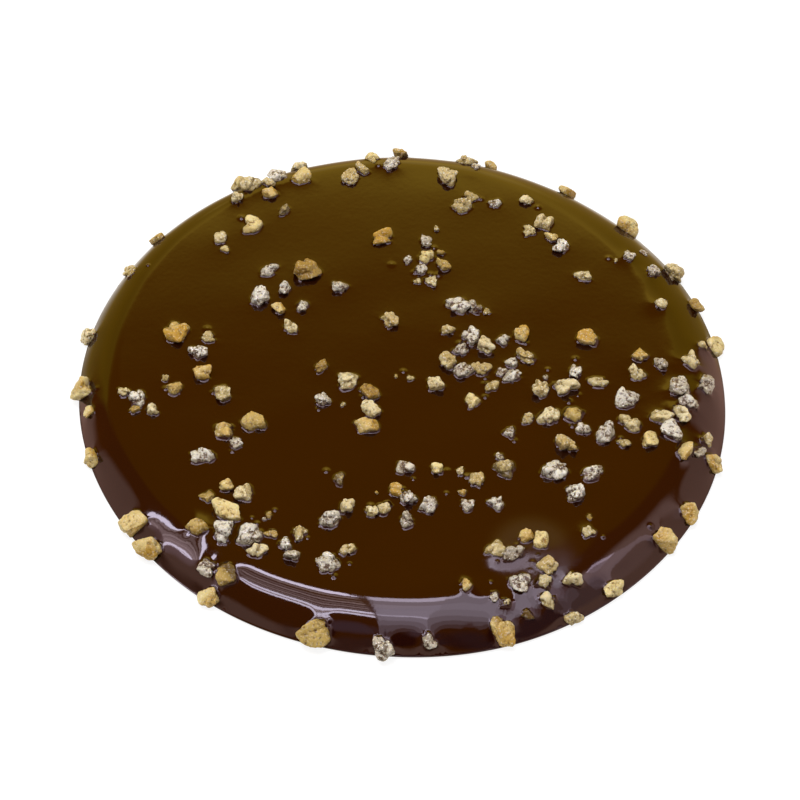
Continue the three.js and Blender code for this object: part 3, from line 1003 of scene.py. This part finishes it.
def setSurroundings():
    world = bpy.data.worlds.new("surroundings")
    world.use_nodes = True
    tree = world.node_tree
    tree.nodes.clear()
    way = addNode(tree, "ShaderNodeTexCoord", output="Generated")
    axes = addNode(tree, "ShaderNodeSeparateXYZ", None, {0: way}).node.outputs
    azimuth = addNode(tree, "ShaderNodeMath", {"operation": "ARCTAN2"}, {0: axes["X"], 1: axes["Y"]})
    aside = addNode(tree, "ShaderNodeMath", {"operation": "ABSOLUTE"}, {0: azimuth})
    turned = addNode(tree, "ShaderNodeMath", {"operation": "ADD"}, {
        0: azimuth, 1: math.radians(studio["backTurn"])})
    asideTurned = addNode(tree, "ShaderNodeMath", {"operation": "ABSOLUTE"}, {0: turned})

    # shares that grow between two heights, two bearings, or along the leaning line
    horizon, frontLow, sunk, under = (
        addNode(tree, "ShaderNodeMapRange", smoothRange, {
            "Value": axes["Z"], "From Min": studio[limits][0], "From Max": studio[limits][1]})
        for limits in ("horizonRise", "frontRise", "aroundFall", "tableRise"))
    toSides, inFront = (
        addNode(tree, "ShaderNodeMapRange", smoothRange, {
            "Value": bearing, "From Min": math.radians(start), "From Max": math.radians(end)})
        for bearing, (start, end) in ((asideTurned, studio["backEnd"]), (aside, studio["aroundFrom"])))
    dimmed = addNode(tree, "ShaderNodeMath", {"operation": "MULTIPLY"}, {0: sunk, 1: inFront})
    leaning = addNode(tree, "ShaderNodeVectorMath", {"operation": "DOT_PRODUCT"}, {
        0: way, 1: studio["sideLean"]}, "Value")
    sideLow = addNode(tree, "ShaderNodeMapRange", smoothRange, {
        "Value": leaning, "From Min": studio["sideRise"][0], "From Max": studio["sideRise"][1]})
    aroundLow = addNode(tree, "ShaderNodeMath", {"operation": "MINIMUM"}, {0: sideLow, 1: frontLow})
    reachFrom, reachTo = studio["backReach"]
    reach = addNode(tree, "ShaderNodeMapRange", None, {
        "Value": aside, "From Min": math.radians(reachFrom), "From Max": math.radians(reachTo),
        "To Min": 1.0, "To Max": 0.0})
    straight = addNode(tree, "ShaderNodeMath", {"operation": "POWER"}, {0: reach, 1: studio["reachCurve"]})
    arch = studio["backArch"]
    arched = addNode(tree, "ShaderNodeMath", {"operation": "MULTIPLY_ADD"}, {
        0: reach, 1: -arch, 2: axes["Z"]})
    riseFrom, riseTo = studio["backRise"]
    fall = addNode(tree, "ShaderNodeMapRange", None, {
        "Value": arched, "From Min": riseFrom - arch, "From Max": riseTo - arch})
    backLow = addNode(tree, "ShaderNodeMath", {"operation": "POWER"}, {0: fall, 1: studio["backCurve"]})

    # each mix: its name, share, and the two that it goes between
    colours = {name: (*studio[name], 1) for name in (
        "backLow", "backHorizon", "farLow", "farHorizon", "backHigh", "around", "aroundHorizon", "above")}
    mixes = [
        ("low", straight, "farLow", "backLow"),
        ("horizon", straight, "farHorizon", "backHorizon"),
        ("lowBack", horizon, "low", "horizon"),
        ("back", backLow, "backHigh", "lowBack"),
        ("lowSide", dimmed, "around", "aroundHorizon"),
        ("side", aroundLow, "above", "lowSide"),
        ("mirrored", toSides, "back", "side"),
    ]
    for name, share, first, second in mixes:
        colours[name] = addNode(tree, "ShaderNodeMix", colourMix, {
            0: share, 6: colours[first], 7: colours[second]}, 2)
    mirrored = colours["mirrored"]
    for bearing, elevation, inner, outer, patchColour in studio["patches"]:
        turn = math.radians(bearing)
        rise = math.radians(elevation)
        toward = (math.sin(turn) * math.cos(rise), math.cos(turn) * math.cos(rise), math.sin(rise))
        near = addNode(tree, "ShaderNodeVectorMath", {"operation": "DOT_PRODUCT"}, {
            0: way, 1: toward}, "Value")
        share = addNode(tree, "ShaderNodeMapRange", smoothRange, {
            "Value": near, "From Min": math.cos(math.radians(outer)),
            "From Max": math.cos(math.radians(inner))})
        mirrored = addNode(tree, "ShaderNodeMix", colourMix, {
            0: share, 6: mirrored, 7: (*patchColour, 1)}, 2)
    mirrored = addNode(tree, "ShaderNodeMix", colourMix, {
        0: under, 6: mirrored, 7: (*studio["mirroredTable"], 1)}, 2)
    overhead = addNode(tree, "ShaderNodeMapRange", None, {"Value": axes["Z"]})
    fill = addNode(tree, "ShaderNodeMix", colourMix, {
        0: overhead, 6: (*studio["fillAround"], 1), 7: (*studio["fillAbove"], 1)}, 2)
    diffuse = addNode(tree, "ShaderNodeLightPath", output="Is Diffuse Ray")
    colour = addNode(tree, "ShaderNodeMix", colourMix, {0: diffuse, 6: mirrored, 7: fill}, 2)
    sky = addNode(tree, "ShaderNodeBackground", None, {"Color": colour})
    addNode(tree, "ShaderNodeOutputWorld", None, {"Surface": sky})
    scene.world = world


# Camera, from the ellipse that the disc makes in the picture
view = {
    "target": (-0.4, -1.49, 1.5),
    "distance": 450.0,
    "elevation": 50.416,
    "roll": 2.956,
    "lens": 187.0,
    "sensor": 36.0,
    "clipStart": 10.0,
}


def placeCamera():
    lens = bpy.data.cameras.new("camera")
    lens.lens = view["lens"]
    lens.sensor_width = view["sensor"]
    lens.clip_start = view["clipStart"] * mm
    camera = bpy.data.objects.new("camera", lens)
    elevation = math.radians(view["elevation"])
    back = Vector((0, -math.cos(elevation), math.sin(elevation)))
    eye = (Vector(view["target"]) + view["distance"] * back) * mm
    tilt = Matrix.Rotation(math.pi / 2 - elevation, 4, "X")
    roll = Matrix.Rotation(math.radians(view["roll"]), 4, "Z")
    camera.matrix_world = Matrix.Translation(eye) @ tilt @ roll
    scene.collection.objects.link(camera)
    scene.camera = camera


layFloor()
hangLamps()
setSurroundings()
placeCamera()
scene.view_settings.view_transform = "Standard"
print("studio set")
